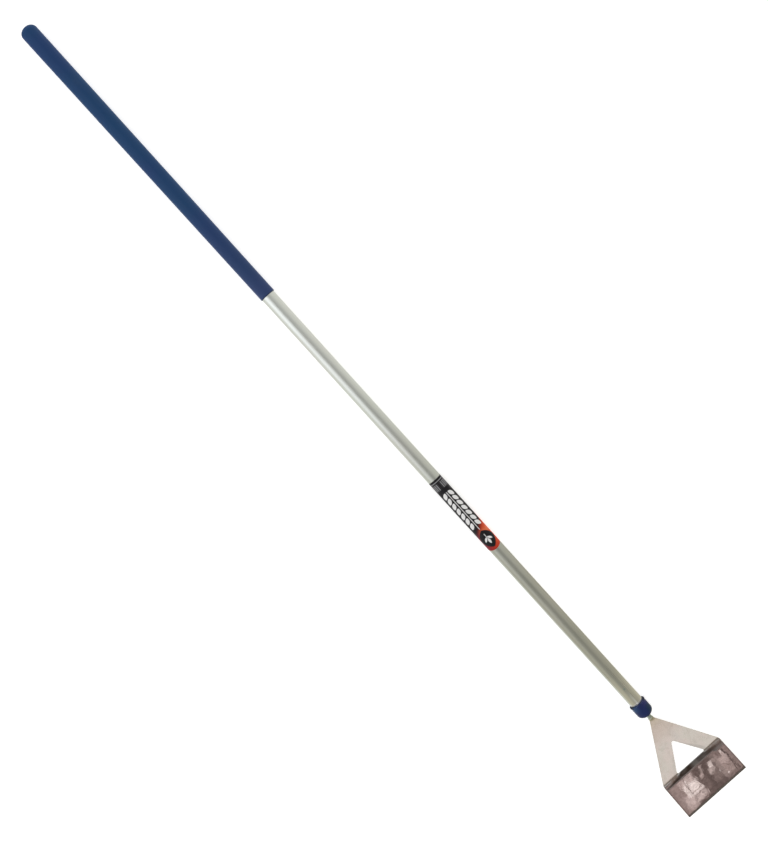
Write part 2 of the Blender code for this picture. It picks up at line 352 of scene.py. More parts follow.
gripSettings = {
    "dome": 0.011,
    "topWall": 0.0019,
    "lowWall": 0.0010,
    "gap": 0.0003,  # what the frame's grip leaves round the tube
    "fit": 0.00006,  # what this one leaves
    "edge": 0.0003,
    "boreEdge": 0.0001,
    "sides": 96,
    "rings": 48,
    "wallSteps": 12,
    "capSteps": 8,
    "navy": (0.0132, 0.0585, 0.1570),
    "violet": (0.0178, 0.0490, 0.1620),
    # greyer towards the open end, where it is handled most, and paler near it, partly worn and partly painted
    # sheen, and darker just at that end, in metres from that end
    "worn": {"span": (-0.280, 0), "share": (0, 0.85), "colour": (0.0275, 0.0560, 0.1500)},
    "rubbedAndSheen": {"span": (-0.060, -0.005), "share": (0, 0.90), "colour": (0.0385, 0.0630, 0.1740)},
    "darkened": {"span": (-0.0022, -0.0006), "share": (0, 0.60), "colour": (0.0120, 0.0160, 0.0380)},
    # and these by a noise
    "cloudy": {"span": (0.30, 0.70), "share": (0, 0.35), "colour": (0.0195, 0.0585, 0.1660)},
    "streaky": {"span": (0.55, 0.85), "share": (0, 0.25), "colour": (0.0300, 0.0690, 0.1740)},
    "scuffed": {"span": (0.60, 0.72), "share": (0, 0.16), "colour": (0.0600, 0.0900, 0.1500)},
    "rough": (0.40, 0.50),
    "scuffRough": 0.10,
    "grain": 0.00002,
    "streakDepth": 0.00003,
}


def gripPlastic():
    s = gripSettings
    look = Paper("gripPlastic", IOR=1.5, Specular_IOR_Level=0.13)
    fromEnd = look.minus(look.along("X"), gripHigh.x)
    clouds = look.noise(scale=9, detail=2, shift=(0.3, 0, 0))
    drift = look.noise(scale=6.5, detail=2, rough=0.6, shift=(1.7, 0, 0))
    streaks = look.noise(scale=1, detail=4, rough=0.6, stretch=(5, 420, 420))
    scuffs = look.noise(scale=26, detail=5, rough=0.7, stretch=(0.4, 1, 1), warp=0.6)
    colour = look.mix(look.span(drift, 0.38, 0.62), s["navy"], s["violet"])
    colour = look.stain(colour, fromEnd, s["worn"])
    # paler near the open end: partly wear and partly painted sheen
    colour = look.stain(colour, fromEnd, s["rubbedAndSheen"])
    colour = look.stain(colour, clouds, s["cloudy"])
    colour = look.stain(colour, streaks, s["streaky"])
    colour = look.stain(colour, fromEnd, s["darkened"])
    colour = look.stain(colour, scuffs, s["scuffed"])
    rougher = look.span(scuffs, *s["scuffed"]["span"], 0, s["scuffRough"])
    roughness = look.plus(look.span(clouds, 0.2, 0.8, *s["rough"]), rougher)
    grain = look.bump(look.noise(scale=1500, detail=2, rough=0.6), s["grain"])
    return look.done(colour, roughness, look.bump(streaks, s["streakDepth"], grain))


def makeGrip():
    s = gripSettings
    end = gripHigh.x
    edge = s["edge"]
    radius = (gripHigh.z - gripLow.z) / 2
    bore = tubeRadius + s["fit"]
    lowRadius = tubeRadius + s["gap"] + s["lowWall"]
    domeX = gripLow.x + s["dome"]
    bpy.ops.mesh.primitive_uv_sphere_add(
        segments=s["sides"],
        ring_count=s["rings"],
        radius=radius,
        location=(domeX, 0, axisHeight),
        rotation=alongShaft,
    )
    sleeve = named("gripSleeve")
    edit(sleeve)
    cutAcross(domeX, clear_outer=True)
    squeeze(s["dome"] / radius, domeX)
    pick(sleeve, "EDGE", ringAt(domeX))
    wall = []
    for step in range(1, s["wallSteps"]):
        share = step / s["wallSteps"]
        wall.append((domeX + (end - domeX) * share, radius + (lowRadius - radius) * share))
    rim = []
    for turn in (0, pi / 6, pi / 3, pi / 2):
        rim.append((end - edge + edge * sin(turn), lowRadius - edge + edge * cos(turn)))
    inside = [(end, bore + s["boreEdge"]), (end - s["boreEdge"], bore), (domeX, bore)]
    cap = []
    for step in range(1, s["capSteps"]):
        turn = pi / 2 * step / s["capSteps"]
        cap.append((domeX - (s["dome"] - s["topWall"]) * sin(turn), bore * cos(turn)))
    growRings((domeX, radius), wall + rim + inside + cap)
    bpy.ops.mesh.edge_face_add()
    closeUp(sleeve)
    settle(sleeve, "grip", "grip_plastic", gripPlastic())


makeGrip()
print("grip made")


# Shaft: a satin drawn tube with a hole for the pin

tubeSettings = {
    "wall": 0.0015,
    "sides": 128,
    "edge": 0.0002,
    "lengths": 16,  # it is cut across into so many
    "pinPlay": 0.00008,
    "pinSides": 48,
    "cool": (0.575, 0.602, 0.552),
    "warm": (0.600, 0.600, 0.560),
    "broad": {"span": (0.35, 0.70), "share": (0, 0.50), "colour": (0.560, 0.585, 0.540)},
    "lined": {"span": (0.55, 0.80), "share": (0, 0.25), "colour": (0.480, 0.485, 0.440)},
    "spotted": {"span": (0.66, 0.74), "share": (0, 0.30), "colour": (0.350, 0.350, 0.320)},
    # a pale band just above the ferrule, partly burnished and partly a painted highlight over the shade at
    # its rim, in metres from its rim
    "rubbedAndSheenRise": (-0.0060, -0.0036),
    "rubbedAndSheenFall": (-0.0006, 0),
    "rubbedAndSheenColour": (0.710, 0.740, 0.760),
    "rough": (0.24, 0.31),
    "lineRough": 0.06,
    "lineDepth": 0.000006,
    "waveDepth": 0.00002,
}


def satinAluminium():
    s = tubeSettings
    look = Paper("satinAluminium", Metallic=1.0)
    clouds = look.noise(scale=14, detail=3, stretch=(0.5, 1, 1), shift=(0.2, 0, 0))
    broad = look.noise(scale=1, detail=3, stretch=(1.2, 130, 130), shift=(3, 0, 0))
    lines = look.noise(scale=1, detail=5, rough=0.65, stretch=(4, 900, 900))
    spots = look.noise(scale=90, detail=6, rough=0.7, stretch=(0.35, 1, 1), warp=0.4)
    colour = look.mix(look.span(clouds, 0.3, 0.7), s["cool"], s["warm"])
    colour = look.stain(colour, broad, s["broad"])
    colour = look.stain(colour, lines, s["lined"])
    colour = look.stain(colour, spots, s["spotted"])
    # the pale band above the ferrule: partly burnished, partly a painted highlight
    fromRim = look.minus(look.along("X"), ferruleLow.x)
    rubbedAndSheen = look.band(fromRim, s["rubbedAndSheenRise"], s["rubbedAndSheenFall"])
    colour = look.mix(rubbedAndSheen, colour, s["rubbedAndSheenColour"])
    roughness = look.plus(look.span(clouds, 0.2, 0.8, *s["rough"]), look.times(lines, s["lineRough"]))
    waves = look.noise(scale=60, detail=2, stretch=(0.3, 1, 1))
    normal = look.bump(waves, s["waveDepth"], look.bump(lines, s["lineDepth"]))
    return look.done(colour, roughness, normal)


def makeTube():
    s = tubeSettings
    length = tubeHigh.x - tubeLow.x
    bpy.ops.mesh.primitive_cylinder_add(
        vertices=s["sides"],
        radius=tubeRadius,
        depth=length,
        end_fill_type="NOTHING",
        location=((tubeLow.x + tubeHigh.x) / 2, 0, axisHeight),
        rotation=alongShaft,
    )
    tube = named("drawnTube")
    modify(tube, "SOLIDIFY", thickness=s["wall"], offset=-1, use_even_offset=True)
    modify(tube, "BEVEL", width=s["edge"], segments=2, limit_method="ANGLE", angle_limit=radians(60))
    edit(tube)
    for step in range(1, s["lengths"]):
        cutAcross(tubeLow.x + length * step / s["lengths"])
    deselectAll()
    bpy.ops.mesh.primitive_cylinder_add(
        vertices=s["pinSides"], radius=pinRadius + s["pinPlay"], depth=4 * tubeRadius, location=pinPlace
    )
    cutAway(tube, named("pinDrill"))
    closeUp(tube)
    settle(tube, "shaft_tube", "tube_aluminium", satinAluminium())


makeTube()
print("tube made")


# Label: a thin printed wrap, flat first and then bent round the tube

labelSettings = {
    "thickness": 0.0001,
    "lift": 0.00003,  # off the tube
    "sag": 0.0057,  # how far the rounded end draws back
    "seam": 0.0012,
    "stepsAlong": 90,
    "stepsAround": 96,
    # the print, in metres from the upper edge and from the middle of the side that is seen
    "soft": 0.00022,  # how softly the ink ends
    "rule": (0.0040, 0.0052),
    "ticks": (0.0075, 0.0200),
    "ticksOut": (0.0018, 0.0150),
    "tickPitch": 0.0034,
    "tick": (0.0005, 0.0019),
    "leavesFrom": 0.0285,
    "leafPitch": 0.0113,
    "leafPairs": 7,
    "leaf": {"out": 0.0068, "turn": 30, "long": 0.0071, "broad": 0.0036},
    "stem": 0.0006,
    "stemPast": 0.006,
    "glow": (0.1060, 0.1200),
    "glowSlant": 0.70,
    "glowEdge": 0.001,
    "lozengeAt": 0.1345,
    "lozengeLong": 0.0175,
    "lozengeWide": 0.0160,
    "lozengeBulge": 1.35,
    # the sprig in the lozenge, from its middle
    "sprigLeaves": [
        {"at": 0.0045, "out": 0, "turn": 0, "long": 0.0058, "broad": 0.0021},
        {"at": 0.0002, "out": 0.0042, "turn": 42, "long": 0.0052, "broad": 0.0019},
    ],
    "sprigStem": {"at": (-0.0105, -0.0010), "half": 0.0005},
    # the inks
    "black": ((0.0070, 0.0060, 0.0085), (0.0120, 0.0107, 0.0138)),
    "white": ((0.80, 0.80, 0.81), (0.92, 0.92, 0.93)),
    "grey": (0.36, 0.36, 0.38),
    "crimson": (0.2300, 0.0120, 0.0300),
    # painted highlights on the red ink: orange towards one side of the tube, and brighter orange where the
    # red begins, on that side
    "orange": {"span": (-0.012, 0.007), "share": (0, 1), "colour": (0.6400, 0.0620, 0.0170)},
    "lit": {"span": (0, 0.010), "share": (0.55, 0), "colour": (0.85, 0.24, 0.10)},
    "litAcross": (-0.012, 0.004),
    "deepRed": {"span": (0.146, 0.157), "share": (0, 0.5), "colour": (0.45, 0.020, 0.012)},
    "scuffed": {"span": (0.62, 0.70), "share": (0, 0.12), "colour": (0.20, 0.19, 0.19)},
    "rough": (0.34, 0.44),
    "scuffRough": 0.15,
    "grain": 0.00002,
}


def labelVinyl():
    s = labelSettings
    look = Paper("labelVinyl", IOR=1.5, Specular_IOR_Level=0.22)
    place = look.axes(look.node("UVMap", uv_map="labelFlat").outputs[0])
    u = look.times(place[0], labelHigh.x - labelLow.x)
    v = look.times(look.minus(place[1], 0.5), 2 * pi * tubeRadius)
    side = look.size(v)

    def inked(distance):
        # 1 where the distance to a shape's edge, in metres, is below 0
        return look.span(distance, -s["soft"], s["soft"], 1, 0)

    def within(value, ends):
        low, high = ends
        fromMiddle = look.size(look.minus(value, (low + high) / 2))
        return inked(look.minus(fromMiddle, (high - low) / 2))

    def leaf(alongIt, acrossIt, shape):
        # a pointed oval: the narrower the further from its middle
        c = cos(radians(shape["turn"]))
        d = sin(radians(shape["turn"]))
        outIt = look.minus(acrossIt, shape["out"])
        longWay = look.plus(look.times(alongIt, c), look.times(outIt, d))
        crossWay = look.minus(look.times(outIt, c), look.times(alongIt, d))
        share = look.over(longWay, shape["long"])
        breadth = look.times(look.minus(1, look.times(share, share)), shape["broad"])
        return inked(look.minus(look.size(crossWay), breadth))

    tick = look.math("MODULO", side, s["tickPitch"])
    ticks = look.times(within(u, s["ticks"]), within(tick, s["tick"]), within(side, s["ticksOut"]))
    leavesEnd = s["leavesFrom"] + s["leafPitch"] * s["leafPairs"]
    step = look.math("MODULO", look.minus(u, s["leavesFrom"]), s["leafPitch"])
    step = look.minus(step, s["leafPitch"] / 2)
    pairs = look.times(within(u, (s["leavesFrom"], leavesEnd)), leaf(step, side, s["leaf"]))
    stem = look.times(
        within(u, (s["leavesFrom"], leavesEnd + s["stemPast"])), inked(look.minus(side, s["stem"]))
    )
    fromLozenge = look.minus(u, s["lozengeAt"])
    shares = []
    for distance, reach in ((look.size(fromLozenge), s["lozengeLong"]), (side, s["lozengeWide"])):
        shares.append(look.math("POWER", look.over(distance, reach), s["lozengeBulge"]))
    past = look.minus(look.plus(*shares), 1)
    lozenge = inked(look.times(past, s["lozengeWide"] / 2))
    sprig = look.times(
        within(fromLozenge, s["sprigStem"]["at"]), inked(look.minus(side, s["sprigStem"]["half"]))
    )
    for shape in s["sprigLeaves"]:
        sprig = look.larger(sprig, leaf(look.minus(fromLozenge, shape["at"]), side, shape))

    wobble = look.noise(scale=120, detail=2)
    black = look.mix(wobble, *s["black"])
    # painted highlights on the red: orange to one side, brighter where the red begins
    red = look.stain(s["crimson"], v, s["orange"])
    fromGlow = look.size(look.minus(u, s["glow"][1] + s["glowEdge"]))
    red = look.stain(red, fromGlow, s["lit"], look.span(v, *s["litAcross"]))
    red = look.stain(red, u, s["deepRed"])
    glow = look.span(look.plus(u, look.times(v, s["glowSlant"])), *s["glow"])
    colour = look.mix(glow, black, red)
    colour = look.mix(lozenge, colour, black)
    colour = look.mix(look.larger(within(u, s["rule"]), ticks), colour, s["grey"])
    whites = look.larger(pairs, stem, look.times(sprig, lozenge))
    colour = look.mix(whites, colour, look.mix(wobble, *s["white"]))
    scuffs = look.noise(scale=55, detail=6, rough=0.75, stretch=(0.6, 1, 1), warp=0.5)
    colour = look.stain(colour, scuffs, s["scuffed"])
    rougher = look.span(scuffs, *s["scuffed"]["span"], 0, s["scuffRough"])
    roughness = look.plus(look.span(look.noise(scale=40), 0.3, 0.7, *s["rough"]), rougher)
    return look.done(colour, roughness, look.bump(look.noise(scale=260), s["grain"]))


def makeLabel():
    s = labelSettings
    length = labelHigh.x - labelLow.x
    skinRadius = tubeRadius + s["lift"]
    width = 2 * pi * skinRadius - s["seam"]
    middleX = labelLow.x + length / 2
    top = axisHeight + skinRadius
    bpy.ops.mesh.primitive_grid_add(
        x_subdivisions=s["stepsAlong"], y_subdivisions=s["stepsAround"], size=1, location=(middleX, 0, top)
    )
    bpy.context.active_object.scale = (length, width, 1)
    wrap = named("wrapLabel")
    for vertex in wrap.data.vertices:
        turn = vertex.co.y / skinRadius
        share = (vertex.co.x - labelLow.x) / length
        vertex.co.x = labelLow.x + share * (length - s["sag"] * (1 - cos(turn)))
    flat = wrap.data.uv_layers.active
    flat.name = "labelFlat"
    for loop in wrap.data.loops:
        at = wrap.data.vertices[loop.vertex_index].co
        flat.data[loop.index].uv = ((at.x - labelLow.x) / length, 0.5 + at.y / (2 * pi * tubeRadius))
    bend(wrap, width / skinRadius, ((0, 0, 1, middleX), (-1, 0, 0, 0), (0, -1, 0, top), (0, 0, 0, 1)))
    modify(wrap, "SOLIDIFY", thickness=s["thickness"], offset=1)
    closeUp(wrap)
    settle(wrap, "label", "label_vinyl", labelVinyl())


makeLabel()
print("label made")


# Ferrule: a dark blue end cap with a lipped rim and a rounded nose

ferruleSettings = {
    "nose": 0.0108,
    "lip": 0.0007,
    "lipLength": 0.0014,
    "lipTaper": 0.0042,
    "lipEdge": 0.00025,
    "fit": 0.00008,  # round the tube
    "tangFit": 0.0001,
    "pastTube": 0.0006,
    "mouth": 0.0006,  # chamfer inside the rim
    "sides": 96,
    "rings": 64,
    "taperSteps": 8,
    "blue": ((0.0094, 0.0203, 0.0975), (0.0144, 0.0278, 0.1175)),
    # painted light and shade by side: violet at one side of the rim, a lighter teal at the other, and a
    # darker teal on the nose, on the violet side
    "rimEnds": (0.004, 0.015),  # from the rim
    "rimLitAndShaded": [
        {"span": (0.001, 0.009), "share": (0, 0.80), "colour": (0.0255, 0.0300, 0.1300)},
        {"span": (-0.0125, -0.0010), "share": (0.90, 0), "colour": (0.0200, 0.0660, 0.1680)},
    ],
    "noseShadedSide": {"span": (0.003, 0.010), "share": (0, 0.85), "colour": (0.0070, 0.0290, 0.0680)},
    # darker on the rim's two sides
    "darkened": {"span": (0.0012, 0.0028), "share": (0.85, 0), "colour": (0.0080, 0.0085, 0.0160)},
    "darkenedOut": (0.0100, 0.0130),
    "scuffed": {"span": (0.60, 0.70), "share": (0, 0.25), "colour": (0.0600, 0.0750, 0.1300)},
    "rough": (0.32, 0.44),
    "scuffRough": 0.12,
    "grain": 0.00002,
}


def ferrulePlastic():
    s = ferruleSettings
    look = Paper("ferrulePlastic", IOR=1.5, Specular_IOR_Level=0.20)
    fromRim = look.minus(look.along("X"), ferruleLow.x)
    side = look.along("Y")
    clouds = look.noise(scale=60)
    colour = look.mix(clouds, *s["blue"])
    atRim = look.span(fromRim, *s["rimEnds"], 1, 0)
    # painted light and shade, by side of the rim and of the nose
    for sideShading in s["rimLitAndShaded"]:
        colour = look.stain(colour, side, sideShading, atRim)
    colour = look.stain(colour, side, s["noseShadedSide"], look.minus(1, atRim))
    colour = look.stain(colour, fromRim, s["darkened"], look.span(look.size(side), *s["darkenedOut"]))
    scuffs = look.noise(scale=160, detail=5, rough=0.7, warp=0.8)
    colour = look.stain(colour, scuffs, s["scuffed"])
    rougher = look.span(scuffs, *s["scuffed"]["span"], 0, s["scuffRough"])
    roughness = look.plus(look.span(clouds, 0.2, 0.8, *s["rough"]), rougher)
    grain = look.bump(look.noise(scale=1400, detail=2, rough=0.6), s["grain"])
    return look.done(colour, roughness, grain)


def makeFerrule():
    s = ferruleSettings
    edge = s["lipEdge"]
    rimX = ferruleLow.x
    shoulderX = ferruleHigh.x - s["nose"]
    lip = (ferruleHigh.z - ferruleLow.z) / 2
    radius = lip - s["lip"]
    bore = tubeRadius + s["fit"]
    hole = tangRadius + s["tangFit"]
    # the nose, from a sphere cut in half and cut again where the tang leaves it
    bpy.ops.mesh.primitive_uv_sphere_add(
        segments=s["sides"],
        ring_count=s["rings"],
        radius=radius,
        location=(shoulderX, 0, axisHeight),
        rotation=alongShaft,
    )
    cap = named("noseFerrule")
    edit(cap)
    holeX = shoulderX + cos(asin(hole / radius)) * radius
    cutAcross(shoulderX, clear_inner=True)
    cutAcross(holeX, clear_outer=True)
    squeeze(s["nose"] / radius, shoulderX)
    noseX = shoulderX + (holeX - shoulderX) * s["nose"] / radius
    pick(cap, "EDGE", ringAt(shoulderX))
    taper = []
    for step in range(s["taperSteps"] + 1):
        turn = pi / 2 * step / s["taperSteps"]
        x = rimX + s["lipLength"] + s["lipTaper"] * (1 - sin(turn))
        taper.append((x, lip - s["lip"] * cos(turn)))
    outerEdge = []
    for turn in (0, pi / 6, pi / 3, pi / 2):
        outerEdge.append((rimX + edge * (1 - sin(turn)), lip - edge * (1 - cos(turn))))
    innerX = tubeHigh.x + s["pastTube"]
    inside = [(rimX, bore + s["mouth"]), (rimX + s["mouth"], bore)]
    inside += [(innerX, bore), (innerX, hole), (noseX, hole)]
    growRings((shoulderX, radius), taper + outerEdge + inside)
    closeUp(cap)
    settle(cap, "ferrule", "ferrule_plastic", ferrulePlastic())


makeFerrule()
print("ferrule made")


# Head: one flat sheet with a window, then bent and tilted

headSettings = {
    "sheet": 0.002,
    "bladeWidth": 0.130,
    "bladeDepth": 0.0644,
    "bladeTilt": 35.0,
    "frameLength": 0.1150,
    "frameDip": 7.5,
    "frameTipWidth": 0.008,
    "bendRadius": 0.010,
    "windowStart": 0.0555,
    "windowLength": 0.0582,
    "windowWidth": 0.0649,
    "windowTipRound": 0.0032,
    "windowCornerRound": 0.0025,
    "shoulderRound": 0.004,
    "bladeCornerRound": 0.0012,
    "groundWidth": 0.003,
    "groundEdge": 0.0004,
    "edgeRound": 0.00025,
    "bendSteps": 24,
    "bendMargin": 0.001,
    "cornerSteps": 8,
    # the polished frame and blade
    "frameSteel": ((0.690, 0.630, 0.600), (0.655, 0.632, 0.592)),
    "bladeSteel": ((0.600, 0.565, 0.535), (0.650, 0.620, 0.595)),
    "pastFold": 0.002,  # where the one has become the other
    "streaky": {"span": (0.50, 0.75), "share": (0, 0.50), "colour": (0.620, 0.590, 0.585)},
    # browner towards the frame's tip, where it was welded, in metres from the tip
    "warm": {"span": (0.020, 0.060), "share": (0.85, 0), "colour": (0.600, 0.530, 0.480)},
    "heated": {"span": (0, 0.020), "share": (1, 0), "colour": (0.480, 0.420, 0.290)},
    "scorched": {"span": (0.001, 0.006), "share": (0.85, 0), "colour": (0.250, 0.200, 0.130)},
    "scorchAcross": (-0.003, 0.002, 0.35, 1),
    # a little duller round the window, and more on its +Y side
    "window": {"span": (0.0018, 0.0065), "share": (1, 0), "colour": (0.540, 0.520, 0.495)},
    "windowAcross": (-0.004, 0.004, 0.3, 1),
    "windowAlong": (0.056, 0.062),
    # the blade is dark along its two sides and its front, in metres from the middle and the front
    "sideEdges": (0.0622, 0.0642, 0, 0.80),
    "frontEdge": (-0.0050, -0.0026, 0, 0.70),
    "edgeColour": (0.300, 0.265, 0.245),
    "bladeRough": {"least": 0.008, "smears": 0.020},
    "frameRough": {"least": 0.18, "smears": 0.10, "lines": 0.05},
    "wavesDepth": 0.000010,
    "linesDepth": 0.0000001,
    # the cut and the ground edges
    "cutFrame": ((0.600, 0.560, 0.520), (0.660, 0.620, 0.580)),
    "cutBlade": ((0.360, 0.335, 0.305), (0.540, 0.505, 0.470)),
    "cutRough": (0.30, 0.50),
    "cutDepth": 0.000006,
    "ground": ((0.190, 0.160, 0.148), (0.310, 0.270, 0.250)),
    "groundRough": (0.22, 0.38),
    "groundDepth": 0.00001,
}

# Painted shade in the fold, dark and brown, on its hollow side. Along: metres past the start of the bend.
# Across: metres from the middle, + on the right leg. Four numbers are from, to, and
# the value before and after.
foldShading = {
    # the deep shade begins later over the legs, and reaches further down the blade at the right
    "starts": (0.0002, 0.0032),
    "ends": (0.0085, 0.0120),
    "later": [(0.024, 0.034, 0, 0.0036), (0.034, 0.060, 0, 0.0024)],
    "laterSide": (-0.020, 0.020, 1, 0.75),
    "further": (0.040, 0.046, 0, 0.0035),
    "deepShadeAcross": [(-0.009, -0.001, 1, 0.90), (0.038, 0.064, 1, 0.65), (-0.064, -0.050, 0.85, 1)],
    "patchy": (0.3, 0.6, 0.90, 1),
    # it is thinner and greyer at the middle
    "middleRise": (-0.004, 0.004),
    "middleFall": (0.006, 0.014),
    "middleShare": 0.88,
    "deepShadeColour": (0.046, 0.031, 0.023),
    "deepShadeMiddle": (0.060, 0.050, 0.037),
    # a thinner, brownish painted shade over the legs
    "legs": (0.026, 0.038),
    "thinShadeStarts": (-0.0032, 0.0036),
    "thinShadeLater": (-0.010, 0.010, 0, 0.0010),
    "thinShadeEnds": (0.0075, 0.0110),
    "thinShadeAcross": [(-0.060, -0.044, 0.45, 1), (-0.030, 0.030, 1, 0.90)],
    "thinShadePatchy": (0.35, 0.6, 0.70, 1),
    "thinShadeColour": (0.245, 0.174, 0.140),
    # and a dark line of painted shade over the right leg, where the bend starts
    "darkLineStarts": (-0.0008, 0.0004),
    "darkLineEnds": (0.0014, 0.0028),
    "darkLineAcross": (0.034, 0.046, 0, 0.8),
    "deepShadeRough": 0.45,
    "thinShadeRough": 0.50,
}

h = headSettings
frameDip = radians(h["frameDip"])
bladeTilt = radians(h["bladeTilt"])
middleRadius = h["bendRadius"] + h["sheet"] / 2
tangent = middleRadius * tan((frameDip + bladeTilt) / 2)
bendStart = h["frameLength"] - tangent
bendEnd = bendStart + middleRadius * (frameDip + bladeTilt)
sheetEnd = bendEnd + h["bladeDepth"] - tangent
frameTip = Vector((headHigh.x, 0, axisHeight))
frameTip.x -= h["frameLength"] * cos(frameDip)
frameTip.x -= h["bladeDepth"] * cos(bladeTilt) + h["sheet"] / 2 * sin(bladeTilt)


def onBlade(look, fromTip):
    # 1 on the blade and 0 on the frame, softly over the bend
    return look.span(fromTip, bendStart, bendEnd + h["pastFold"])


def shadingInFold(look, past, side):
    # how thick the deep painted shade lies, how thick the thinner one, and where the middle is
    d = foldShading
    out = look.size(side)
    upper = look.span(look.axes(look.node("NewGeometry").outputs["Normal"])[2], -0.1, 0.1)
    delay = look.plus(*[look.span(out, *part) for part in d["later"]])
    late = look.minus(past, look.times(delay, look.span(side, *d["laterSide"])))
    short = look.minus(past, look.span(side, *d["further"]))
    middle = look.band(side, d["middleRise"], d["middleFall"])
    deepShade = look.times(look.span(late, *d["starts"]), look.span(short, *d["ends"], 1, 0))
    patches = look.noise(scale=90, detail=4, rough=0.6, stretch=(1, 0.5, 1))
    deepShade = look.times(deepShade, look.span(patches, *d["patchy"]), look.span(middle, 0, 1, 1, d["middleShare"]))
    for part in d["deepShadeAcross"]:
        deepShade = look.times(deepShade, look.span(side, *part))
    slow = look.minus(past, look.span(side, *d["thinShadeLater"]))
    thinShade = look.times(look.span(slow, *d["thinShadeStarts"]), look.span(past, *d["thinShadeEnds"], 1, 0))
    patches = look.noise(scale=150, detail=4, rough=0.6)
    thinShade = look.times(thinShade, look.span(out, *d["legs"]), look.span(patches, *d["thinShadePatchy"]))
    for part in d["thinShadeAcross"]:
        thinShade = look.times(thinShade, look.span(side, *part))
    darkLine = look.band(past, d["darkLineStarts"], d["darkLineEnds"])
    darkLine = look.times(darkLine, look.span(side, *d["darkLineAcross"]))
    return look.times(deepShade, upper), look.times(look.larger(thinShade, darkLine), upper), middle


def polishedSteel():
    look = Paper("polishedSteel", Metallic=1.0)
    fromTip = look.minus(look.along("X"), frameTip.x)
    side = look.along("Y")
    out = look.size(side)
    blade = onBlade(look, fromTip)
    # the frame is pale and browner to its tip, and the blade darker
    clouds = look.noise(scale=38, detail=4, rough=0.55, warp=0.4)
    pale = look.mix(look.span(clouds, 0.35, 0.65), *h["frameSteel"])
    pale = look.stain(pale, look.noise(scale=1, stretch=(14, 120, 14)), h["streaky"])
    pale = look.stain(pale, fromTip, h["warm"])
    clouds = look.noise(scale=60, detail=5, rough=0.6, warp=1.2)
    dark = look.mix(look.span(clouds, 0.38, 0.62), *h["bladeSteel"])
    colour = look.mix(blade, pale, dark)
    patches = look.span(look.noise(scale=180), 0.3, 0.7, 0.3, 0.8)
    colour = look.stain(colour, fromTip, h["heated"], patches)
    colour = look.stain(colour, fromTip, h["scorched"], look.span(side, *h["scorchAcross"]))
    base = h["windowStart"] + h["windowLength"]
    windowHalf = look.span(fromTip, h["windowStart"], base, 0, h["windowWidth"] / 2)
    across = look.span(side, *h["windowAcross"])
    along = look.span(fromTip, *h["windowAlong"])
    colour = look.stain(colour, look.minus(out, windowHalf), h["window"], across, along)
    # painted shade in the fold's hollow, deep and thin
    deepShade, thinShade, middle = shadingInFold(look, look.minus(fromTip, bendStart), side)
    colour = look.mix(thinShade, colour, foldShading["thinShadeColour"])
    colour = look.mix(deepShade, colour, look.mix(middle, foldShading["deepShadeColour"], foldShading["deepShadeMiddle"]))
    lines = look.noise(scale=1, detail=5, rough=0.65, stretch=(60, 1500, 60))
    smears = look.span(look.noise(scale=75, detail=6, rough=0.7, warp=0.9), 0.45, 0.75)
    r = h["bladeRough"]
    bladeRough = look.plus(look.times(smears, r["smears"]), r["least"])
    r = h["frameRough"]
    frameRough = look.plus(look.times(smears, r["smears"]), look.times(lines, r["lines"]), r["least"])
    dull = look.larger(look.times(deepShade, foldShading["deepShadeRough"]), look.times(thinShade, foldShading["thinShadeRough"]))
    roughness = look.larger(look.mixNumbers(blade, frameRough, bladeRough), dull)
    sides = look.times(look.span(out, *h["sideEdges"]), blade)
    front = look.span(look.minus(look.along("X"), headHigh.x), *h["frontEdge"])
    colour = look.mix(look.larger(sides, front), colour, h["edgeColour"])
    waves = look.noise(scale=46, detail=2, stretch=(1, 1.3, 1), shift=(0.11, 0.02, 0), warp=0.7)
    return look.done(colour, roughness, look.bump(lines, h["linesDepth"], look.bump(waves, h["wavesDepth"])))


def cutSteel():
    look = Paper("cutSteel", Metallic=1.0)
    bands = look.noise(scale=500, detail=4, rough=0.6, stretch=(1, 1, 4))
    blade = onBlade(look, look.minus(look.along("X"), frameTip.x))
    colour = look.mix(blade, look.mix(bands, *h["cutFrame"]), look.mix(bands, *h["cutBlade"]))
    return look.done(colour, look.span(bands, 0.3, 0.7, *h["cutRough"]), look.bump(bands, h["cutDepth"]))


def groundSteel():
    look = Paper("groundSteel", Metallic=1.0)
    strokes = look.noise(scale=1, detail=5, rough=0.7, stretch=(150, 2600, 150))
    roughness = look.span(strokes, 0.3, 0.7, *h["groundRough"])
    return look.done(look.mix(strokes, *h["ground"]), roughness, look.bump(strokes, h["groundDepth"]))


def roundedCorners(corners):
    # the outline's points, with an arc of its own radius at each corner
    points = []
    for index, (along, across, radius) in enumerate(corners):
        corner = Vector((along, across))
        if not radius:
            points.append(corner)
            continue
        before = (Vector(corners[index - 1][:2]) - corner).normalized()
        after = (Vector(corners[(index + 1) % len(corners)][:2]) - corner).normalized()
        halfAngle = before.angle(after) / 2
        centre = corner + (before + after).normalized() * radius / sin(halfAngle)
        start = corner + before * radius / tan(halfAngle) - centre
        end = corner + after * radius / tan(halfAngle) - centre
        sweep = start.angle_signed(end)
        for step in range(h["cornerSteps"] + 1):
            points.append(centre + Matrix.Rotation(-sweep * step / h["cornerSteps"], 2) @ start)
    return points


